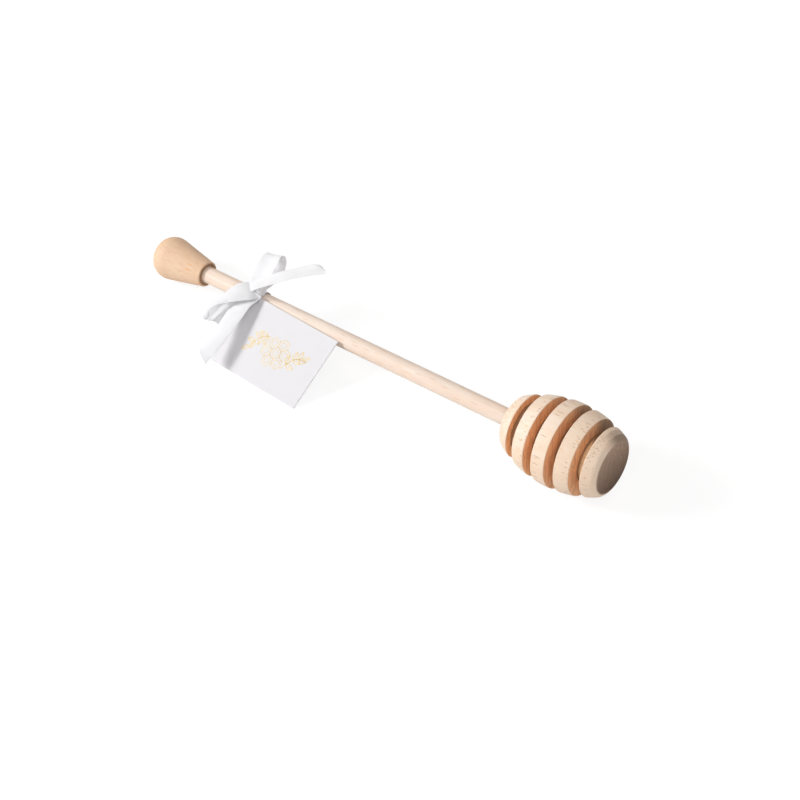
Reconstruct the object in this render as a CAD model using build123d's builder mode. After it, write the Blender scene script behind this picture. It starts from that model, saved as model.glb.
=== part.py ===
"""A beech honey dipper with a ribbon bow and a gift tag, lying on a table as it is stored.

The head, the handle rod and the end knob are turned about one axis. The dipper rests on the widest ring of
its head and of its knob, so that axis slopes down gently from the head to the knob. The ribbon is tied round
the rod near the knob, and the tag hangs on it by a corner hole and leans from the rod to the table.

Millimetres. X runs along the dipper towards the head, Z is up, and the table is at Z = 0. The origin is on
the table, under the middle of the dipper and its bow. Stations are distances along the axis of the turned
pieces, counted from the far end of the knob.
"""

import os
from math import asin, atan2, cos, degrees, hypot, radians, sin, sqrt

from build123d import *

# Handle rod: a plain dowel, glued into the head and the knob
rod_diameter = 6.35
rod_end_chamfer = 0.5
exposed_rod_length = 142.8
glue_gap = 0.05
glue_well = 0.5

# Head: a barrel with four grooves that leave five discs
head_length = 41.0
head_diameter = 30.7
widest_ring_from_back = 22.1
barrel_radius = 40.0
back_round = 5.0
front_round = 3.1
groove_count = 4
groove_width = 3.5
groove_pitch = 8.95
first_groove_from_back = 7.4
core_diameter = 17.0
lip_round = 0.3
head_socket_depth = 20.0

# End knob: a teardrop, narrow at the mouth where the rod goes in
knob_length = 24.8
knob_diameter = 16.7
knob_mouth_diameter = 9.9
knob_mouth_round = 0.4
widest_ring_from_end = 6.8
shoulder_round = 6.5
knob_socket_depth = 14.0

# Ribbon: the band round the rod, the knot, two loops, two tails and the strand through the tag's hole
ribbon_width = 7.0
ribbon_thickness = 0.35
ribbon_running_gap = 0.06
band_from_mouth = 24.1
knot_width = 4.2
knot_depth = 5.4
knot_height = 4.2
knot_round = 1.2
knot_forward = 1.6
knot_above_band = 2.0
strand_diameter = 0.7
strand_bend_radius = 3.3
strand_bend_slant = 0.6
strand_inset = 0.8

# Loops and tails: heading is the turn from X seen from above, climb is the rise from level, in degrees
back_loop_length = 17.0
back_loop_height = 6.0
back_loop_heading = 80.0
back_loop_climb = 28.0
front_loop_length = 21.5
front_loop_height = 4.2
front_loop_heading = 231.0
front_loop_climb = -16.0
back_tail_length = 30.0
back_tail_rise = 2.0
back_tail_heading = 61.0
back_tail_climb = -1.0
front_tail_length = 31.5
front_tail_rise = 2.4
front_tail_heading = 272.0
front_tail_climb = -18.0

# Gift tag: a flat card with a hole in one corner
tag_length = 41.5
tag_height = 29.0
tag_thickness = 0.4
tag_hole_diameter = 2.2
tag_hole_inset = 2.0
tag_from_band_middle = 2.9
tag_gap_over_band = 0.55
tag_yaw = -2.3

# The table is the common tangent of the barrel arc and the shoulder arc, which gives the slope of the axis
head_station = knob_length + exposed_rod_length
overall_length = head_station + head_length
ring_distance = head_station + widest_ring_from_back - widest_ring_from_end
shoulder_centre_radius = knob_diameter / 2 - shoulder_round
barrel_centre_radius = barrel_radius - head_diameter / 2
centre_offset = barrel_centre_radius + shoulder_centre_radius
tangent_drop = barrel_radius - shoulder_round
slope = asin(tangent_drop / hypot(ring_distance, centre_offset)) - atan2(centre_offset, ring_distance)
knob_ring_height = shoulder_round + shoulder_centre_radius * cos(slope)
axis_start_height = knob_ring_height - widest_ring_from_end * sin(slope)
along = Vector(cos(slope), 0, sin(slope))
towards_viewer = Vector(0, -1, 0)

# The tag stands on its lower edge, and its upper edge leans over the ribbon's band round the rod
band_station = knob_length + band_from_mouth
band_radius = rod_diameter / 2 + ribbon_running_gap + ribbon_thickness
tag_underside_radius = band_radius + tag_gap_over_band
axis_height_at_band = axis_start_height + band_station * sin(slope)
tag_lean = asin(axis_height_at_band / hypot(tag_height, tag_underside_radius))
tag_lean += atan2(tag_underside_radius, tag_height)
tag_turn = radians(tag_yaw)
tag_along = Vector(cos(tag_turn), sin(tag_turn), 0)
tag_up = Vector(-sin(tag_turn) * cos(tag_lean), cos(tag_turn) * cos(tag_lean), sin(tag_lean))
tag_outward = tag_along.cross(tag_up)

# The two tails of the bow reach furthest to each side, and the origin is halfway between their ends
front_turn = radians(front_tail_heading)
back_turn = radians(back_tail_heading)
front_reach = knot_forward - front_tail_length * cos(radians(front_tail_climb)) * sin(front_turn)
back_reach = back_tail_length * cos(radians(back_tail_climb)) * sin(back_turn) - knot_forward
back_reach += ribbon_width / 2 * cos(back_turn)
axis_side = (front_reach - back_reach) / 2


def on_axis(station):
    """The point on the axis of the turned pieces at a station."""
    return Vector(-overall_length / 2 * cos(slope), axis_side, axis_start_height) + along * station


def profile_plane(station):
    """The upright plane through the axis, its X along the axis and its Y away from it."""
    return Plane(origin=on_axis(station), x_dir=along, z_dir=towards_viewer)


def ring_plane(station):
    """The plane square to the axis at a station."""
    return Plane(origin=on_axis(station), z_dir=along)


axis_line = Axis(on_axis(0), along)
knot_centre = on_axis(band_station) + Vector(0, -knot_forward, band_radius + knot_above_band)


def ribbon_plane(heading, climb):
    """The upright plane through the knot that a loop or a tail of the ribbon follows."""
    turn = radians(heading)
    rise = radians(climb)
    forward = (cos(turn) * cos(rise), sin(turn) * cos(rise), sin(rise))
    return Plane(origin=knot_centre, x_dir=forward, z_dir=(sin(turn), -cos(turn), 0))


with BuildPart() as handle_rod:
    with BuildSketch(ring_plane(knob_length - knob_socket_depth + glue_well)):
        Circle(rod_diameter / 2)
    extrude(amount=exposed_rod_length + knob_socket_depth + head_socket_depth - 2 * glue_well)
    chamfer(handle_rod.edges().filter_by(GeomType.CIRCLE), rod_end_chamfer)

with BuildPart() as dipper_head:
    back_edge_radius = sqrt(barrel_radius**2 - widest_ring_from_back**2) - barrel_centre_radius
    front_edge_radius = sqrt(barrel_radius**2 - (head_length - widest_ring_from_back) ** 2) - barrel_centre_radius
    with BuildSketch(profile_plane(head_station)) as head_profile:
        with BuildLine():
            barrel = ThreePointArc(
                (0, back_edge_radius),
                (widest_ring_from_back, head_diameter / 2),
                (head_length, front_edge_radius),
            )
            Polyline(barrel @ 1, (head_length, 0), (0, 0), barrel @ 0)
        make_face()
        fillet(head_profile.vertices().sort_by(Axis.Y)[-1], front_round)
        fillet(head_profile.vertices().group_by(Axis.X)[0].sort_by(Axis.Y)[-1], back_round)
        with Locations((first_groove_from_back + groove_pitch * (groove_count - 1) / 2, core_diameter / 2)):
            with GridLocations(groove_pitch, groove_width, groove_count, 1):
                Rectangle(
                    groove_width, head_diameter, align=(Align.CENTER, Align.MIN), mode=Mode.SUBTRACT
                )
        lips = head_profile.vertices().sort_by(Axis.Y)[-2 * groove_count :]
        fillet(lips, lip_round)
    revolve(axis=axis_line)
    with BuildSketch(ring_plane(head_station)):
        Circle(rod_diameter / 2 + glue_gap)
    extrude(amount=head_socket_depth, mode=Mode.SUBTRACT)

with BuildPart() as end_knob:
    crown_radius = (widest_ring_from_end**2 + shoulder_centre_radius**2 - shoulder_round**2) / 2
    crown_radius /= widest_ring_from_end - shoulder_round
    crown_turn = atan2(shoulder_centre_radius, crown_radius - widest_ring_from_end)
    crown_edge = (crown_radius - crown_radius * cos(crown_turn), crown_radius * sin(crown_turn))
    mouth_edge = Vector(knob_length, knob_mouth_diameter / 2)
    mouth_to_shoulder = Vector(widest_ring_from_end, shoulder_centre_radius) - mouth_edge
    taper_turn = degrees(asin(shoulder_round / mouth_to_shoulder.length))
    taper_length = sqrt(mouth_to_shoulder.length**2 - shoulder_round**2)
    taper_edge = mouth_edge + mouth_to_shoulder.normalized().rotate(Axis.Z, -taper_turn) * taper_length
    with BuildSketch(profile_plane(0)) as knob_profile:
        with BuildLine():
            taper = Line(mouth_edge, taper_edge)
            shoulder = TangentArc(taper_edge, crown_edge, tangent=taper % 1)
            TangentArc(crown_edge, (0, 0), tangent=shoulder % 1)
            Polyline((0, 0), (knob_length, 0), mouth_edge)
        make_face()
        fillet(knob_profile.vertices().group_by(Axis.X)[-1].sort_by(Axis.Y)[-1], knob_mouth_round)
    revolve(axis=axis_line)
    with BuildSketch(ring_plane(knob_length)):
        Circle(rod_diameter / 2 + glue_gap)
    extrude(amount=-knob_socket_depth, mode=Mode.SUBTRACT)

with BuildPart() as gift_tag:
    tag_rest = on_axis(band_station) + tag_outward * (tag_underside_radius + tag_thickness / 2)
    tag_corner = tag_rest + tag_along * tag_from_band_middle - tag_up * tag_height
    with BuildSketch(Plane(origin=tag_corner, x_dir=tag_along, z_dir=tag_outward)):
        Rectangle(tag_length, tag_height, align=(Align.MIN, Align.MIN))
        with Locations((tag_hole_inset, tag_height - tag_hole_inset)):
            Circle(tag_hole_diameter / 2, mode=Mode.SUBTRACT)
    extrude(amount=tag_thickness / 2, both=True)

with BuildPart() as ribbon:
    with Locations(knot_centre):
        Box(knot_width, knot_depth, knot_height)
    fillet(ribbon.edges(), knot_round)
    with BuildSketch(ring_plane(band_station - ribbon_width / 2)):
        Circle(band_radius)
    extrude(amount=ribbon_width)
    for length, height, heading, climb in (
        (back_loop_length, back_loop_height, back_loop_heading, back_loop_climb),
        (front_loop_length, front_loop_height, front_loop_heading, front_loop_climb),
    ):
        with BuildSketch(ribbon_plane(heading, climb)):
            with Locations((length / 2, 0)):
                Ellipse(length / 2, height / 2)
                Ellipse(length / 2 - ribbon_thickness, height / 2 - ribbon_thickness, mode=Mode.SUBTRACT)
        extrude(amount=ribbon_width / 2, both=True)
    for length, rise, heading, climb in (
        (back_tail_length, back_tail_rise, back_tail_heading, back_tail_climb),
        (front_tail_length, front_tail_rise, front_tail_heading, front_tail_climb),
    ):
        with BuildSketch(ribbon_plane(heading, climb)):
            with BuildLine():
                ThreePointArc((0, 0), (length / 2, rise), (length, 0))
            trace(line_width=ribbon_thickness)
        extrude(amount=ribbon_width / 2, both=True)
    hole_centre = tag_corner + tag_along * tag_hole_inset + tag_up * (tag_height - tag_hole_inset)
    strand_out = (tag_outward + Vector(0, -1, 0)).normalized()
    strand_back = strand_out.cross(Vector(1, 0, 0))
    strand_start = on_axis(band_station + ribbon_width / 2 - strand_inset) + strand_out * (
        band_radius - ribbon_thickness / 2
    )
    with BuildLine() as strand_path:
        Spline(
            strand_start,
            hole_centre,
            hole_centre + (strand_out + strand_back * strand_bend_slant).normalized() * strand_bend_radius,
            hole_centre + strand_back * strand_bend_radius,
            knot_centre,
        )
    with BuildSketch(Plane(origin=strand_path.line @ 0, z_dir=strand_path.line % 0)):
        Circle(strand_diameter / 2)
    sweep(path=strand_path.line)
    with BuildSketch(ring_plane(band_station - ribbon_width)):
        Circle(rod_diameter / 2 + ribbon_running_gap)
    extrude(amount=2 * ribbon_width, mode=Mode.SUBTRACT)

os.makedirs("parts", exist_ok=True)
dipper_head.part.label = "dipper_head"
export_step(dipper_head.part, "parts/dipper_head.step")
handle_rod.part.label = "handle_rod"
export_step(handle_rod.part, "parts/handle_rod.step")
end_knob.part.label = "end_knob"
export_step(end_knob.part, "parts/end_knob.step")
ribbon.part.label = "ribbon"
export_step(ribbon.part, "parts/ribbon.step")
gift_tag.part.label = "gift_tag"
export_step(gift_tag.part, "parts/gift_tag.step")
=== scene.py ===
"""Looks of the honey dipper: turned beech, a white satin ribbon bow and a white gift tag with a gold foil print.

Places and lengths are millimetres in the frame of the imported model, unless a line says metres, and MM turns them
into Blender's own units, which are metres. A colour is its red, green and blue.
"""

import math

import bpy
import numpy as np
from mathutils import Matrix, Vector


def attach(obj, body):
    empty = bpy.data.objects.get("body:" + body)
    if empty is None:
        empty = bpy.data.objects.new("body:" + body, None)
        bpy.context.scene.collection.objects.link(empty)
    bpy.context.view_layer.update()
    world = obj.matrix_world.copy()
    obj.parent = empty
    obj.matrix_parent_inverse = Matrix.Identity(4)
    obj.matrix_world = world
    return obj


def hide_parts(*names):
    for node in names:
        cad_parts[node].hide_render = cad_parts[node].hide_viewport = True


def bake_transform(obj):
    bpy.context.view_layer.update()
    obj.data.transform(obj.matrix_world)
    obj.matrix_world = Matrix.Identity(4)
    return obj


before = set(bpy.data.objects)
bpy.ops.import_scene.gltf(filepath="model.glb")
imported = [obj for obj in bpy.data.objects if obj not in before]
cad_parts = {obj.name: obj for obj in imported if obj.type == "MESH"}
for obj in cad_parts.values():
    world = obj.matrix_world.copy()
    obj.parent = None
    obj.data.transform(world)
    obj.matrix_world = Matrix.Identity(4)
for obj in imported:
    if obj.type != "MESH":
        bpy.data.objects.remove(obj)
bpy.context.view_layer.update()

MM = 0.001
TO_MM = (1 / MM, 1 / MM, 1 / MM)

# The dipper's axis, which rises towards the head. A station is a distance along it from AXIS_POINT.
SLOPE = math.radians(2.2)
AXIS_POINT = (0.0, 2.604, 12.091)
ALONG = np.array([math.cos(SLOPE), 0.0, math.sin(SLOPE)])

# Stations of the head's two ends and of the last groove's rear wall, and the distance from the axis within which
# only the grooves' floors lie
HEAD_BACK = 63.3
HEAD_FRONT = 104.3
LAST_GROOVE = 95.8
GROOVE_FLOOR = 8.8

# The card: a lower corner, its turn on the table and its lean. The hole and the print's middle count from the corner.
TAG_CORNER = np.array([-53.57, -25.13, 0.177])
TAG_YAW = math.radians(-2.3)
TAG_LEAN = math.radians(28.0)
TAG_HOLE = (2.0, 27.0)
PRINT_MIDDLE = (22.0, 14.0)
PRINT_TURN = math.radians(11)

CAMERA_PLACE = (318.07, -342.61, 455.31)
CAMERA_RIGHT = (0.7831, 0.6196, -0.0543)
CAMERA_UP = (-0.4092, 0.5789, 0.7053)
CAMERA_LENS = 81.0
CAMERA_SENSOR = 36.0

# Name, direction from the dipper, distance and size in metres, power in watts, colour
LIGHTS = (
    ("key", (-0.68, -0.49, 0.54), 1.4, 0.4, 13.9, (1, 1, 1)),
    ("fill", (0.35, -0.65, 0.8), 1.6, 1.4, 6.4, (1, 1, 1)),
    ("side", (0.85, -0.5, 0.25), 1.6, 1.4, 1.6, (1, 1, 1)),
    ("rim", (-0.1, 0.7, 0.7), 1.6, 1.0, 4.2, (1.0, 0.94, 0.87)),
)
AMBIENT_COLOR = (0.97, 0.98, 1.0, 1)
AMBIENT_STRENGTH = 0.275

# The beech: its colours and shares, as beech_material takes them
HEAD_WOOD = {
    "pale": (0.97, 0.82, 0.69), "deep": (0.91, 0.69, 0.51),
    "warm": (0.90, 0.58, 0.32), "fleck": (0.52, 0.30, 0.17),
    "cut": (0.98, 0.59, 0.33), "core": (0.97, 0.72, 0.42),
    # The end grain's colour, and the share of painted shade towards its lower side
    "end": (0.60, 0.395, 0.27), "bottom_shade": 1.0,
}
ROD_WOOD = {
    "pale": (0.94, 0.81, 0.70), "deep": (0.89, 0.70, 0.57),
    "warm": (0.91, 0.67, 0.49), "fleck": (0.74, 0.52, 0.38),
}
KNOB_WOOD = {
    "pale": (0.86, 0.625, 0.445), "deep": (0.81, 0.535, 0.35),
    "warm": (0.84, 0.45, 0.20), "fleck": (0.66, 0.40, 0.24),
    "end": (0.47, 0.27, 0.16), "rim": 4.75,
}
# A warmer painted shade, laid on the head towards its front, where it turns away from the key light
FRONT_SHADE_TINT = (0.97, 0.73, 0.54)
GROOVE_LINE = (0.80, 0.46, 0.26)
# Near-black laid over the end grain's lower side: painted shade
BOTTOM_SHADE_COLOR = (0.06, 0.02, 0.005)


# Camera, light and floor


def make_camera():
    """A long lens above the head's side of the table, turned a few degrees about its own line of sight."""
    camera = bpy.data.objects.new("camera", bpy.data.cameras.new("camera"))
    bpy.context.scene.collection.objects.link(camera)
    right = Vector(CAMERA_RIGHT)
    back = right.cross(Vector(CAMERA_UP)).normalized()
    up = back.cross(right).normalized()
    turn = Matrix((right.normalized(), up, back)).transposed().to_4x4()
    camera.matrix_world = Matrix.Translation(Vector(CAMERA_PLACE) * MM) @ turn
    camera.data.lens = CAMERA_LENS
    camera.data.sensor_width = CAMERA_SENSOR
    camera.data.clip_start = 10 * MM
    bpy.context.scene.camera = camera


def add_area_light(name, towards, distance, size, power, color):
    """A square soft light that shines on the middle of the dipper from a direction."""
    light = bpy.data.lights.new(name, "AREA")
    light.size = size
    light.energy = power
    light.color = color
    holder = bpy.data.objects.new(name, light)
    direction = Vector(towards).normalized()
    holder.location = direction * distance
    holder.rotation_euler = direction.to_track_quat("Z", "Y").to_euler()
    bpy.context.scene.collection.objects.link(holder)


def make_world():
    """White behind the object for the camera, and a dimmer even light for everything else."""
    world = bpy.data.worlds.new("studio")
    bpy.context.scene.world = world
    world.use_nodes = True
    tree = world.node_tree
    tree.nodes.clear()
    camera_ray = add_node(tree, "LightPath").outputs["Is Camera Ray"]
    seen = add_node(tree, "Background", Color=(1, 1, 1, 1)).outputs[0]
    light = add_node(tree, "Background", Color=AMBIENT_COLOR, Strength=AMBIENT_STRENGTH).outputs[0]
    mixed = add_node(tree, "MixShader", i0=camera_ray, i1=light, i2=seen).outputs[0]
    add_node(tree, "OutputWorld", Surface=mixed)


def make_floor():
    """A pale table just under the object, which reaches well past the picture.

    The camera sees it glow white, so that shadows on it stay faint. To all other light it is a plain pale surface.
    """
    mesh = bpy.data.meshes.new("floor")
    half_side, level = 3000 * MM, -0.02 * MM
    corners = [(x * half_side, y * half_side, level) for x, y in ((-1, -1), (1, -1), (1, 1), (-1, 1))]
    mesh.from_pydata(corners, [], [(0, 1, 2, 3)])
    floor = bpy.data.objects.new("floor", mesh)
    bpy.context.scene.collection.objects.link(floor)
    material, tree, shader = new_material("pale_table")
    seen = add_node(tree, "LightPath").outputs["Is Camera Ray"]
    fill_inputs(
        tree, shader, Base_Color=mix_color(tree, seen, (0.88, 0.88, 0.88), (0.24, 0.24, 0.24)),
        Emission_Color=(1, 1, 1, 1), Emission_Strength=product(tree, seen, 0.84),
        Roughness=0.9, Specular_IOR_Level=0.0,
    )
    mesh.materials.append(material)


# Shader helpers


def new_material(name):
    """A material with nothing but its Principled shader and the output, with its tree and that shader."""
    material = bpy.data.materials.new(name)
    material.use_nodes = True
    return material, material.node_tree, material.node_tree.nodes["Principled BSDF"]


def fill_inputs(tree, node, **inputs):
    """Give a node's inputs their values or links. In a name, _ stands for a space, and i0 is the first input."""
    for key, value in inputs.items():
        numbered = key[0] == "i" and key[1:].isdigit()
        socket = node.inputs[int(key[1:]) if numbered else key.replace("_", " ")]
        if isinstance(value, bpy.types.NodeSocket):
            tree.links.new(value, socket)
        else:
            socket.default_value = value


def add_node(tree, kind, settings=(), **inputs):
    """A node of a kind, with its settings and the values or links of its inputs."""
    node = tree.nodes.new("ShaderNode" + kind)
    for key, value in dict(settings).items():
        setattr(node, key, value)
    fill_inputs(tree, node, **inputs)
    return node


def noise(tree, vector, detail=3.0, rough=0.55, scale=1.0):
    """Noise along a vector, as a value around one half."""
    node = add_node(tree, "TexNoise", Vector=vector, Scale=scale, Detail=detail, Roughness=rough)
    return node.outputs["Fac"]


def math_node(tree, operation, first, second=0.0, third=0.0):
    """One step of arithmetic on values."""
    return add_node(tree, "Math", {"operation": operation}, i0=first, i1=second, i2=third).outputs[0]


def product(tree, first, *others):
    """Values multiplied together."""
    for other in others:
        first = math_node(tree, "MULTIPLY", first, other)
    return first


def stretch(tree, vector, share):
    """A vector with each part multiplied by its own share."""
    return add_node(tree, "VectorMath", {"operation": "MULTIPLY"}, i0=vector, i1=share).outputs[0]


def place_in_mm(tree):
    """The place of a point in millimetres."""
    return stretch(tree, add_node(tree, "TexCoord").outputs["Object"], TO_MM)


def band_mask(tree, value, low, high):
    """Zero at low, one at high, smooth between them and level beyond them. Low may be the greater of the two."""
    node = add_node(tree, "MapRange", {"interpolation_type": "SMOOTHSTEP"}, Value=value, From_Min=low, From_Max=high)
    return node.outputs["Result"]


def ramp(tree, value, low, high, start, stop):
    """A value that goes evenly from start to stop while another goes from low to high."""
    node = add_node(tree, "MapRange", Value=value, From_Min=low, From_Max=high, To_Min=start, To_Max=stop)
    return node.outputs["Result"]


def scattered(tree, vector, radius, share):
    """Soft spots of a radius in a share of the cells that the vector's space is cut into."""
    cells = add_node(tree, "TexVoronoi", Vector=vector, Scale=1.0)
    draw = add_node(tree, "SeparateColor", Color=cells.outputs["Color"]).outputs["Red"]
    near = math_node(tree, "SUBTRACT", 1.0, band_mask(tree, cells.outputs["Distance"], radius * 0.6, radius))
    return product(tree, near, math_node(tree, "LESS_THAN", draw, share))


def mix_color(tree, share, first, second):
    """Two colours mixed by a share. Each is a link, or its red, green and blue."""
    first, second = [color if isinstance(color, bpy.types.NodeSocket) else (*color, 1) for color in (first, second)]
    return add_node(tree, "Mix", {"data_type": "RGBA"}, i0=share, i6=first, i7=second).outputs[2]


def layer(tree, color, over, share, mask):
    """A colour with a share of another laid over it where a mask says."""
    return mix_color(tree, product(tree, mask, share), color, over)


def shade(color, share):
    """A colour made darker by a share."""
    return [share * part for part in color]


def bump(tree, height, strength, depth):
    """The normal of a surface that follows a height."""
    return add_node(tree, "Bump", Height=height, Strength=strength, Distance=depth * MM).outputs["Normal"]


def grain_group():
    """The grain of beech round the dipper's axis: tone, rings, ray flecks, warm dabs, pores, and where a point lies.

    Across is one on faces square to the axis, Depth is the distance from the axis and Station the distance along it.
    The shares of a stretch say how fast a pattern changes along the axis, to the side and upwards, per millimetre.
    """
    tree = bpy.data.node_groups.new("beech_grain", "ShaderNodeTree")
    place = add_node(tree, "TexCoord")
    minus, turn = {"operation": "SUBTRACT"}, {"rotation_type": "Y_AXIS"}
    moved = add_node(tree, "VectorMath", minus, i0=place.outputs["Object"], i1=Vector(AXIS_POINT) * MM)
    turned = add_node(tree, "VectorRotate", turn, Vector=moved.outputs[0], Angle=SLOPE)
    along = stretch(tree, turned.outputs[0], TO_MM)
    parts = add_node(tree, "SeparateXYZ", Vector=along).outputs
    normal = add_node(tree, "VectorRotate", turn, Vector=place.outputs["Normal"], Angle=SLOPE)
    facing = add_node(tree, "SeparateXYZ", Vector=normal.outputs[0]).outputs
    depth = add_node(tree, "VectorMath", {"operation": "LENGTH"}, i0=stretch(tree, along, (0, 1, 1)))

    slow = noise(tree, stretch(tree, along, (0.03, 0.16, 0.16)), 2.0)
    fibre = noise(tree, stretch(tree, along, (0.07, 1.6, 1.6)), 4.0, 0.65)
    tone = math_node(tree, "ADD", product(tree, slow, 0.5), product(tree, fibre, 0.5))

    ring_lean, ring_pace, ring_sway = -0.25, 2.2, 16.0
    sway = noise(tree, stretch(tree, along, (0.02, 0.45, 0.16)), 3.0)
    across_rings = math_node(tree, "MULTIPLY_ADD", parts["Z"], ring_lean, parts["Y"])
    phase = math_node(tree, "MULTIPLY_ADD", sway, ring_sway, product(tree, across_rings, ring_pace))
    rings = math_node(tree, "MULTIPLY_ADD", math_node(tree, "SINE", phase), 0.5, 0.5)

    found = {
        "Tone": tone,
        "Rings": rings,
        "Flecks": scattered(tree, stretch(tree, along, (0.17, 2.2, 2.0)), radius=0.34, share=0.28),
        "Warmth": scattered(tree, stretch(tree, along, (0.20, 0.8, 0.6)), radius=0.36, share=0.2),
        "Pores": noise(tree, stretch(tree, along, (0.6, 5.0, 1.4)), 3.0, 0.7),
        "Across": math_node(tree, "ABSOLUTE", facing["X"]),
        "Station": parts["X"],
        "Depth": depth.outputs["Value"],
    }
    for name in found:
        tree.interface.new_socket(name, in_out="OUTPUT", socket_type="NodeSocketFloat")
    output = tree.nodes.new("NodeGroupOutput")
    for name, value in found.items():
        tree.links.new(value, output.inputs[name])
    return tree


def groove_color(tree, value, color, inside, cut, core):
    """A colour with the grooves' own colours laid on it.

    The walls show the rings as lines, and get painted shade on the side away from the tag, more so towards the front.
    The floors show fine threads. They get painted shade on that side too, and all round in every groove but the last.
    """
    place = place_in_mm(tree)
    side = add_node(tree, "SeparateXYZ", Vector=place).outputs["Y"]
    station = value["Station"]

    wall = mix_color(tree, band_mask(tree, value["Rings"], 0.25, 1.0), cut, GROOVE_LINE)
    wall = layer(tree, wall, shade(cut, 0.85), 0.3, value["Pores"])
    # Painted shade: the walls darken on the side away from the tag, more so towards the front.
    painted_wall_shade = product(tree, band_mask(tree, side, 3.0, 11.0), band_mask(tree, station, 74.0, 98.0))
    wall = layer(tree, wall, shade(cut, 0.25), 0.75, painted_wall_shade)

    threads = noise(tree, stretch(tree, place, (0.25, 3.0, 3.0)), 3.0, 0.6)
    floor = mix_color(tree, band_mask(tree, threads, 0.38, 0.62), core, shade(core, 0.80))
    # Painted shade on the floors: on the side away from the tag, and all round in every groove before the last.
    shade_before_last = band_mask(tree, station, LAST_GROOVE + 1.1, LAST_GROOVE + 0.3)
    floor_shade_mask = math_node(tree, "MAXIMUM", band_mask(tree, side, -0.5, 3.5), shade_before_last)
    floor = mix_color(tree, floor_shade_mask, floor, shade(cut, 0.36))

    walls = product(tree, band_mask(tree, value["Across"], 0.6, 0.95), inside)
    floors = product(tree, math_node(tree, "LESS_THAN", value["Depth"], GROOVE_FLOOR), inside)
    return mix_color(tree, floors, mix_color(tree, walls, color, wall), floor)


def end_color(tree, value, color, inside, end, bottom_shade, rim):
    """A colour with the end grain's own colour laid on the faces square to the axis, but not inside the grooves."""
    grain = mix_color(tree, band_mask(tree, value["Pores"], 0.38, 0.66), end, shade(end, 0.6))
    grain = layer(tree, grain, shade(end, 0.55), 0.35, value["Rings"])
    square = (0.75, 0.97) if rim else (0.905, 0.998)
    ends = product(tree, band_mask(tree, value["Across"], *square), math_node(tree, "SUBTRACT", 1.0, inside))
    if rim:
        ends = product(tree, ends, band_mask(tree, value["Depth"], rim, rim - 0.5))
    if bottom_shade:
        place = add_node(tree, "SeparateXYZ", Vector=place_in_mm(tree)).outputs
        # Painted shade on the far upper edge of the head's rounded front face.
        painted_edge_shade = product(
            tree, band_mask(tree, value["Across"], 0.2, 0.6), band_mask(tree, place["Z"], 15.0, 21.0),
            band_mask(tree, place["Y"], 0.0, 7.0),
            math_node(tree, "GREATER_THAN", value["Station"], HEAD_FRONT - 3.5),
        )
        color = layer(tree, color, shade(end, 0.5), 0.9, painted_edge_shade)
        # Painted shade: the end grain grows darker towards its lower side.
        grain = mix_color(tree, ramp(tree, place["Z"], 3.7, 25.0, bottom_shade, 0.0), grain, BOTTOM_SHADE_COLOR)
    return mix_color(tree, ends, color, grain)


def beech_material(name, grain, pale, deep, warm, fleck, cut=None, core=None, end=None, bottom_shade=0.0, rim=0.0):
    """Sanded beech, pale to deep with its tone and its rings, with warm dabs and darker ray flecks.

    It carries a warmer painted shade towards the head's front. cut is the colour of the groove walls, core that of
    the groove floors, and end that of the end grain, which gets painted shade towards its lower side by its own
    share, and painted shade on its far upper edge too. rim keeps the end grain within that distance from the axis.
    """
    material, tree, shader = new_material(name)
    group = tree.nodes.new("ShaderNodeGroup")
    group.node_tree = grain
    value = group.outputs
    front = band_mask(tree, value["Station"], HEAD_BACK + 12, HEAD_FRONT - 4)
    color = mix_color(tree, band_mask(tree, value["Tone"], 0.38, 0.62), pale, deep)
    # The front tint is painted shade: the head grows warmer towards its front.
    for over, share, mask in (
        (deep, 0.30, value["Rings"]), (FRONT_SHADE_TINT, 0.6, front), (warm, 0.55, value["Warmth"]),
        (fleck, 0.75, value["Flecks"]),
    ):
        color = layer(tree, color, over, share, mask)
    inside = 0.0
    if cut:
        inside = product(
            tree, math_node(tree, "GREATER_THAN", value["Station"], HEAD_BACK + 3.0),
            math_node(tree, "LESS_THAN", value["Station"], HEAD_FRONT - 3.0),
        )
        color = groove_color(tree, value, color, inside, cut, core)
    if end:
        color = end_color(tree, value, color, inside, end, bottom_shade, rim)
    relief = math_node(tree, "MULTIPLY_ADD", value["Flecks"], -0.8, product(tree, value["Pores"], 0.5))
    fill_inputs(
        tree, shader, Base_Color=color, Roughness=ramp(tree, value["Tone"], 0, 1, 0.62, 0.48), Specular_IOR_Level=0.3,
        Normal=bump(tree, relief, strength=0.3, depth=0.05),
    )
    return material


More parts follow.
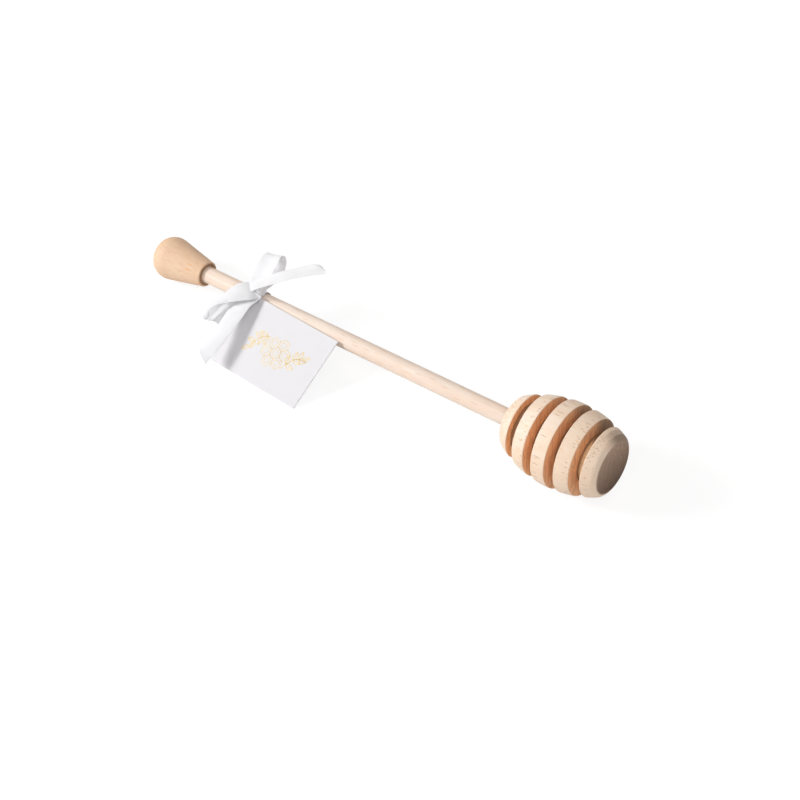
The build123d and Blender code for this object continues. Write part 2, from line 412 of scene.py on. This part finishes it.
def satin_material():
    """White satin ribbon: a smooth sheen with fine ribs across it and a firmer woven edge, lit through a little."""
    material, tree, shader = new_material("white_satin")
    rib_pitch = 0.28
    place = add_node(tree, "UVMap", {"uv_map": "ribbon"}).outputs["UV"]
    parts = add_node(tree, "SeparateXYZ", Vector=place).outputs
    ribs = math_node(tree, "SINE", product(tree, parts["X"], 2 * math.pi / rib_pitch))
    from_middle = math_node(tree, "ABSOLUTE", math_node(tree, "SUBTRACT", parts["Y"], 0.5))
    edge = band_mask(tree, from_middle, 0.455, 0.475)
    cloud = noise(tree, stretch(tree, place, (0.25, 3.0, 1.0)), 2.0)
    color = mix_color(tree, band_mask(tree, cloud, 0.3, 0.7), (0.90, 0.895, 0.912), (0.93, 0.925, 0.942))
    fill_inputs(
        tree, shader, Base_Color=layer(tree, color, (0.88, 0.88, 0.90), 0.5, edge),
        Roughness=math_node(tree, "MULTIPLY_ADD", edge, 0.2, 0.42), Specular_IOR_Level=0.4, Sheen_Weight=0.15,
        Subsurface_Weight=0.35, Subsurface_Radius=(1, 1, 1), Subsurface_Scale=0.5 * MM,
        Normal=bump(tree, math_node(tree, "MULTIPLY_ADD", edge, 1.5, ribs), strength=0.25, depth=0.02),
    )
    return material


def card_material():
    """Matt white card with a faint fibre."""
    material, tree, shader = new_material("white_card")
    place = add_node(tree, "TexCoord").outputs["Object"]
    fibre = noise(tree, place, 4.0, 0.65, scale=2600.0)
    cloud = noise(tree, place, 2.0, scale=140.0)
    fill_inputs(
        tree, shader, Base_Color=mix_color(tree, cloud, (0.80, 0.785, 0.805), (0.83, 0.815, 0.835)),
        Roughness=0.75, Specular_IOR_Level=0.25, Normal=bump(tree, fibre, strength=0.2, depth=0.03),
    )
    return material


def foil_material():
    """Pale gold foil, pressed on thinly, so that the fibre of the card breaks it up."""
    material, tree, shader = new_material("gold_foil")
    wear = noise(tree, add_node(tree, "TexCoord").outputs["Object"], 3.0, 0.6, scale=1500.0)
    color = mix_color(tree, band_mask(tree, wear, 0.35, 0.65), (0.78, 0.56, 0.22), (0.86, 0.70, 0.38))
    fill_inputs(tree, shader, Base_Color=color, Metallic=0.2, Roughness=0.45)
    return material


# Shapes


def mesh_piece(name, points, faces, material, body, smooth=True, uv=None):
    """An object made of points in millimetres and faces. If a body is given, it rides on it."""
    mesh = bpy.data.meshes.new(name)
    mesh.from_pydata((np.asarray(points) * MM).tolist(), [], np.asarray(faces).tolist())
    mesh.materials.append(material)
    mesh.polygons.foreach_set("use_smooth", np.full(len(mesh.polygons), smooth))
    if uv is not None:
        corners = np.empty(len(mesh.loops), dtype=np.int32)
        mesh.loops.foreach_get("vertex_index", corners)
        uv_layer = mesh.uv_layers.new(name="ribbon")
        uv_layer.uv.foreach_set("vector", np.asarray(uv, dtype=np.float32)[corners].ravel())
    mesh.update()
    if smooth:
        mesh.set_sharp_from_angle(angle=math.radians(50))
    piece = bpy.data.objects.new(name, mesh)
    bpy.context.scene.collection.objects.link(piece)
    if body:
        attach(piece, body)
    return piece


def spline_rows(rows, steps):
    """Rows of numbers joined by a smooth curve: a Catmull-Rom spline, with steps points between two rows."""
    rows = np.asarray(rows, dtype=float)
    ends = np.vstack([2 * rows[0] - rows[1], rows, 2 * rows[-1] - rows[-2]])
    share = np.linspace(0, 1, steps, endpoint=False)[:, None]
    runs = []
    for before, start, stop, after in zip(ends, ends[1:], ends[2:], ends[3:]):
        runs.append(
            0.5 * (
                2 * start + (stop - before) * share
                + (2 * before - 5 * start + 4 * stop - after) * share**2
                + (3 * start - before - 3 * stop + after) * share**3
            )
        )
    return np.vstack([*runs, rows[-1]])


def ribbon_sheet(rows, crown, pleats, columns, steps, closed):
    """The ribbon's middle surface between its edges, and the surface's normal.

    A point is the point at its share of the row's straight runs + (crown * 4 * share * (1 - share) + pleat height *
    sine of pleat count * turns of share) along the surface's own normal.
    """
    edges = spline_rows(rows, steps)
    across = edges.reshape(len(edges), -1, 3)
    share = np.linspace(0, 1, columns)
    place = share * (across.shape[1] - 1)
    run = np.minimum(place.astype(int), across.shape[1] - 2)
    part = (place - run)[None, :, None]
    sheet = across[:, run] * (1 - part) + across[:, run + 1] * part
    along = np.gradient(sheet, axis=0)
    if closed:
        along[0] = along[-1] = (along[0] + along[-1]) / 2
    normal = np.cross(along, np.gradient(sheet, axis=1))
    normal /= np.linalg.norm(normal, axis=2, keepdims=True)
    pleat_count, pleat_height = pleats
    rise = crown * 4 * share * (1 - share) + pleat_height * np.sin(2 * np.pi * pleat_count * share)
    return sheet + normal * rise[None, :, None], normal


def ribbon_piece(
    name, rows, material, crown=0.25, pleats=(0, 0.0), columns=13, steps=8, closed=False, body="bow"
):
    """A length of ribbon between two edges. A row holds the points across it, from one edge to the other.

    Its two faces are the sheet's points + or - half the thickness * (1 - thinning * the eighth power of the share of
    the way from the middle to the edge) along the normal. Two caps close its ends.
    """
    thickness, thinning = 0.24, 0.6
    share = np.linspace(0, 1, columns)
    sheet, normal = ribbon_sheet(rows, crown, pleats, columns, steps, closed)
    half = thickness / 2 * (1 - thinning * np.abs(2 * share - 1) ** 8)[None, :, None]
    ring = np.concatenate([sheet + normal * half, (sheet - normal * half)[:, ::-1]], axis=1)
    count, around = ring.shape[:2]
    index = np.arange(count * around).reshape(count, around)
    near, far = index[:-1], index[1:]
    faces = np.stack([near, np.roll(near, -1, 1), np.roll(far, -1, 1), far], axis=-1).reshape(-1, 4).tolist()
    for row, flip in ((index[0], True), (index[-1], False)):
        upper, lower = row[:columns], row[::-1][:columns]
        cap = np.stack([upper[:-1], upper[1:], lower[1:], lower[:-1]], axis=-1)
        faces += (cap[:, ::-1] if flip else cap).tolist()
    middle = sheet[:, columns // 2]
    length = np.concatenate([[0], np.cumsum(np.linalg.norm(np.diff(middle, axis=0), axis=1))])
    over = np.concatenate([share, share[::-1]])
    uv = np.stack(np.broadcast_arrays(length[:, None], over[None, :]), axis=-1).reshape(-1, 2)
    piece = mesh_piece(name, ring.reshape(-1, 3), faces, material, body, uv=uv)
    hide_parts("ribbon")
    return piece


# The ribbon's rows: each holds the x, y and z of every point across the ribbon, from one edge to the other
BACK_LOOP = [
    [-55.8, 2.4, 13.8, -51.4, 3.5, 13.6],
    [-56.7, 3.0, 15.9, -50.2, 4.2, 15.9],
    [-56.9, 4.4, 17.8, -49.7, 5.5, 18.2],
    [-56.7, 6.1, 20.1, -49.6, 7.1, 19.9],
    [-56.6, 7.7, 21.9, -49.5, 8.9, 21.4],
    [-56.7, 9.6, 23.1, -49.6, 10.9, 23.0],
    [-57.0, 11.6, 23.5, -49.9, 12.9, 24.1],
    [-57.1, 13.4, 23.2, -50.0, 14.5, 24.3],
    [-57.1, 14.5, 22.4, -49.9, 15.7, 23.1],
    [-57.0, 14.9, 21.2, -49.8, 16.1, 21.2],
    [-56.7, 14.3, 19.7, -49.5, 15.3, 19.3],
    [-56.3, 12.7, 18.1, -49.2, 13.5, 17.6],
    [-55.5, 9.2, 17.0, -49.7, 10.9, 15.2],
    [-55.3, 4.8, 14.8, -51.4, 6.2, 13.3],
]
BACK_TAIL = [
    [-56.6, 2.0, 16.8, -51.3, -2.7, 18.6],
    [-53.6, 3.9, 18.9, -48.2, -0.7, 20.4],
    [-48.9, 7.2, 21.2, -43.4, 2.6, 22.5],
    [-45.0, 10.1, 22.8, -39.5, 5.6, 24.1],
    [-41.4, 12.8, 23.9, -35.8, 8.4, 25.1],
    [-38.5, 15.0, 25.0, -32.7, 10.8, 26.0],
    [-36.1, 16.4, 25.8, -30.0, 12.5, 26.5],
    [-34.3, 17.2, 25.8, -27.9, 13.9, 27.0],
    [-33.3, 17.5, 25.3, -27.2, 14.4, 27.6],
]
KNOT_WRAP = [
    [-54.9, 0.3, 16.8, -50.5, 4.9, 17.4],
    [-53.8, -0.8, 15.9, -49.4, 4.2, 16.7],
    [-52.7, -0.9, 14.5, -49.3, 3.1, 15.2],
    [-51.9, -0.4, 13.2, -49.8, 2.0, 13.6],
    [-51.5, 0.5, 12.2, -50.7, 1.3, 12.2],
]
FRONT_LOOP = [
    [-55.1, 3.7, 15.1, -54.9, 3.5, 15.3, -49.1, -0.5, 15.0],
    [-56.8, 1.6, 16.8, -56.5, 1.3, 17.1, -50.3, -3.5, 15.7],
    [-58.7, -0.5, 16.9, -58.3, -0.9, 17.5, -52.3, -5.6, 15.8],
    [-61.1, -3.0, 14.8, -60.2, -4.2, 16.5, -54.5, -7.7, 15.8],
    [-62.6, -6.6, 12.6, -61.1, -8.3, 15.1, -57.1, -9.8, 15.4],
    [-64.3, -9.6, 11.2, -62.3, -11.7, 14.2, -59.6, -11.8, 14.7],
    [-65.3, -12.0, 9.9, -63.2, -14.4, 13.2, -61.0, -13.7, 13.8],
    [-65.9, -13.5, 8.6, -63.7, -16.0, 11.8, -61.8, -14.9, 12.7],
    [-65.8, -14.3, 7.7, -63.4, -17.1, 10.8, -61.8, -15.6, 12.1],
    [-64.9, -14.7, 6.8, -62.5, -17.3, 9.8, -61.4, -16.0, 11.5],
]
FRONT_UNDERSIDE = [
    [-61.8, -15.6, 12.1, -61.8, -16.0, 11.1, -62.2, -17.2, 9.8, -64.8, -14.9, 7.0],
    [-62.0, -15.1, 12.6, -61.2, -15.9, 10.8, -60.9, -16.8, 9.7, -64.5, -15.2, 7.1],
    [-61.3, -14.0, 13.6, -60.3, -14.9, 11.2, -59.4, -15.6, 10.2, -62.5, -14.5, 7.1],
    [-60.6, -12.6, 14.4, -59.6, -13.4, 12.4, -58.4, -13.8, 11.7, -60.2, -14.1, 7.2],
    [-59.8, -11.6, 14.9, -59.3, -11.7, 13.6, -57.7, -12.3, 12.6, -58.3, -14.2, 6.6],
    [-58.8, -10.5, 15.3, -58.5, -10.5, 14.4, -57.1, -10.9, 13.3, -57.1, -11.7, 8.2],
    [-57.5, -9.3, 15.8, -57.4, -9.4, 15.1, -56.4, -9.3, 14.2, -56.4, -8.8, 10.4],
    [-56.7, -6.7, 15.3, -56.3, -7.1, 14.8, -55.8, -6.6, 14.0, -54.9, -5.3, 11.0],
    [-55.7, -1.1, 14.0, -54.7, -2.2, 14.1, -53.8, -2.1, 13.8, -52.9, -1.2, 12.1],
]
FRONT_TAIL = [
    [-53.8, -0.6, 16.0, -48.7, 0.2, 15.1],
    [-55.4, -3.0, 14.5, -48.9, -2.2, 14.8],
    [-56.6, -7.1, 13.7, -49.5, -5.8, 14.3],
    [-56.4, -11.2, 12.4, -49.3, -10.5, 12.6],
    [-55.9, -15.8, 10.9, -49.2, -14.5, 11.2],
    [-55.2, -21.1, 8.9, -49.1, -18.8, 9.5],
    [-55.3, -24.8, 7.9, -49.3, -23.3, 8.0],
    [-55.3, -27.1, 7.2, -49.6, -27.5, 6.2],
    [-55.1, -29.0, 6.8, -50.2, -31.1, 4.4],
]


def make_band(material):
    """The turns of ribbon round the rod: a closed ring, gathered near the knot, with a soft line between the turns.

    A point of an edge is the middle of the band + radius * (sine of turn to the side + cosine of turn upwards) + the
    edge's reach along the axis. Gather is the cosine of turn where that is above zero, so it is one at the knot. It
    narrows both reaches, and the radius is the plain one + ripple * sine of seven turns * gather.
    """
    middle = np.array([-55.36, 2.604, 9.964])
    plain_radius, ripple = 3.55, 0.10
    turn = np.linspace(0, 2 * np.pi, 49)
    side = np.array([0.0, 1.0, 0.0])
    lift = np.cross(ALONG, side)
    gather = np.clip(np.cos(turn), 0, 1)
    radius = plain_radius + ripple * np.sin(7 * turn) * gather
    round_rod = np.outer(radius * np.sin(turn), side) + np.outer(radius * np.cos(turn), lift)
    back_reach, front_reach = 3.5 - 0.5 * gather, 5.4 - 0.4 * gather
    back = middle + round_rod - np.outer(back_reach, ALONG)
    front = middle + round_rod + np.outer(front_reach, ALONG)
    rows = np.hstack([back, front])
    ribbon_piece("bow_band", rows, material, crown=0.0, pleats=(2, 0.1), columns=21, steps=2, closed=True)


def card_points(across, up, lift):
    """Points on the card: the corner + across along its long side + up along its short side + lift off its face."""
    along = np.array([math.cos(TAG_YAW), math.sin(TAG_YAW), 0.0])
    flat = math.cos(TAG_LEAN)
    rise = np.array([-math.sin(TAG_YAW) * flat, math.cos(TAG_YAW) * flat, math.sin(TAG_LEAN)])
    off = np.cross(along, rise)
    return TAG_CORNER + np.multiply.outer(across, along) + np.multiply.outer(up, rise) + np.multiply.outer(lift, off)


def make_strand(material):
    """The narrow end of ribbon that passes through the card's hole and back over it to the knot.

    A row's points are the hole + its lift off the card + its shift to the side, - or + half its width, which is
    partly to the side and partly up the card.
    """
    hole = card_points(*TAG_HOLE, 0.0)
    off = card_points(*TAG_HOLE, 1.0) - hole
    rise = card_points(TAG_HOLE[0], TAG_HOLE[1] + 1.0, 0.0) - hole
    side = np.array([1.0, 0.0, 0.0])
    rows = []
    for lift, shift, flat, upright in (
        (-1.6, 0.3, 0.9, 0.0), (0.0, 0.0, 0.95, 0.0), (0.6, -0.3, 0.8, 0.35),
        (0.95, -1.3, 0.5, 0.65), (1.3, -2.8, 0.1, 0.95), (1.8, -4.4, 0.0, 1.1),
    ):
        middle = hole + lift * off + shift * side
        half = flat * side + upright * rise
        rows.append([*(middle - half), *(middle + half)])
    strand = ribbon_piece("bow_strand", rows, material, crown=0.08, columns=7, steps=5, body=None)
    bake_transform(strand)


def make_bow(material):
    """The bow: the band round the rod, the knot's wrap, two loops, two tails and the strand through the card."""
    ribbon_piece("bow_back_loop", BACK_LOOP, material)
    ribbon_piece("bow_back_tail", BACK_TAIL, material, crown=0.15)
    ribbon_piece("bow_knot", KNOT_WRAP, material, crown=0.3, pleats=(2, 0.35), columns=25)
    ribbon_piece("bow_front_loop", FRONT_LOOP, material)
    ribbon_piece("bow_front_underside", FRONT_UNDERSIDE, material, crown=0.0, columns=16)
    ribbon_piece("bow_front_tail", FRONT_TAIL, material)
    make_band(material)
    make_strand(material)


# The foil print


def hexagon(middle, radius):
    """Six corners round a middle, and the first again."""
    turn = np.radians(np.arange(30, 391, 60))
    return middle + radius * np.stack([np.cos(turn), np.sin(turn)], axis=1)


def leaf(root, heading, length, width):
    """A leaf's outline and its midrib.

    Half its width is width / 2 * sine of half a turn of (the share of its length to the power 0.8).
    """
    share = np.linspace(0, 1, 9)
    half = width / 2 * np.sin(np.pi * share**0.8)
    outline = np.stack([np.concatenate([share, share[::-1]]) * length, np.concatenate([half, -half[::-1]])], axis=1)
    midrib = np.stack([share[:-1] * length, 0 * share[:-1]], axis=1)
    return [root + outline @ turned_by(heading), root + midrib @ turned_by(heading)]


def turned_by(angle):
    """What a row of points is multiplied by to turn it by an angle."""
    return np.array([[math.cos(angle), math.sin(angle)], [-math.sin(angle), math.cos(angle)]])


def foil_lines():
    """The print's lines in millimetres on the card: a patch of comb cells with a leafy sprig on either side."""
    lines = []
    pitch, outer, inner = 4.1, 2.3, 1.25
    for row, shift, count in ((-1, 0.5, 2), (0, 0.0, 3), (1, 0.5, 2)):
        for column in range(count):
            cell = np.array([(column - 1 + shift) * pitch, row * pitch * math.sqrt(0.75)])
            lines += [hexagon(cell, outer), hexagon(cell, inner)]
    share = np.linspace(0, 1, 15)
    start, reach = np.array([4.4, -5.2]), np.array([7.4, 5.4])
    arch = 2.0 * np.sin(np.pi * share)
    for side in (-1, 1):
        stem = side * (start + np.outer(share, reach))
        stem[:, 1] += arch
        lines.append(stem)
        heading = math.atan2(side * reach[1], side * reach[0])
        for place, turn in ((3, 0.95), (3, -0.95), (7, 0.85), (7, -0.85), (11, 0.75), (11, -0.75), (14, 0.0)):
            lines += leaf(stem[place], heading + turn, 3.9 - 0.06 * place, 1.8)
    return [np.asarray(PRINT_MIDDLE) + line @ turned_by(PRINT_TURN) for line in lines]


def make_print(material):
    """The foil: each line is a flat strip of one width, pressed on the card's face.

    A strip's edges are the line's points + or - half the width along the normal of the line.
    """
    width, face, height = 0.25, 0.2, 0.03
    points, faces = [], []
    for line in foil_lines():
        ahead = np.gradient(line, axis=0)
        ahead /= np.linalg.norm(ahead, axis=1, keepdims=True)
        side = np.stack([-ahead[:, 1], ahead[:, 0]], axis=1) * width / 2
        left, right = line + side, line - side
        ring = np.stack([
            card_points(*edge.T, np.full(len(line), lift))
            for edge, lift in ((right, face), (right, face + height), (left, face + height), (left, face))
        ], axis=1)
        index = np.arange(len(line) * 4).reshape(-1, 4) + sum(len(part) for part in points)
        near, far = index[:-1], index[1:]
        walls = np.stack([near, far, np.roll(far, -1, 1), np.roll(near, -1, 1)], axis=-1).reshape(-1, 4)
        faces += walls.tolist() + [index[0].tolist(), index[-1][::-1].tolist()]
        points.append(ring.reshape(-1, 3))
    piece = mesh_piece("tag_print", np.vstack(points), faces, material, "tag", smooth=False)


def paint_nodes(materials):
    """Give the CAD pieces that keep their own shape their materials."""
    for name, material in materials.items():
        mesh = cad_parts[name].data
        mesh.materials.clear()
        mesh.materials.append(material)


def main():
    """The stage, the wood and the card, the bow and the print."""
    bpy.context.scene.view_settings.view_transform = "Standard"
    make_camera()
    make_world()
    for light in LIGHTS:
        add_area_light(*light)
    make_floor()
    grain = grain_group()
    paint_nodes({
        "dipper_head": beech_material("beech_head", grain, **HEAD_WOOD),
        "handle_rod": beech_material("beech_rod", grain, **ROD_WOOD),
        "end_knob": beech_material("beech_knob", grain, **KNOB_WOOD),
        "gift_tag": card_material(),
    })
    make_bow(satin_material())
    make_print(foil_material())


main()
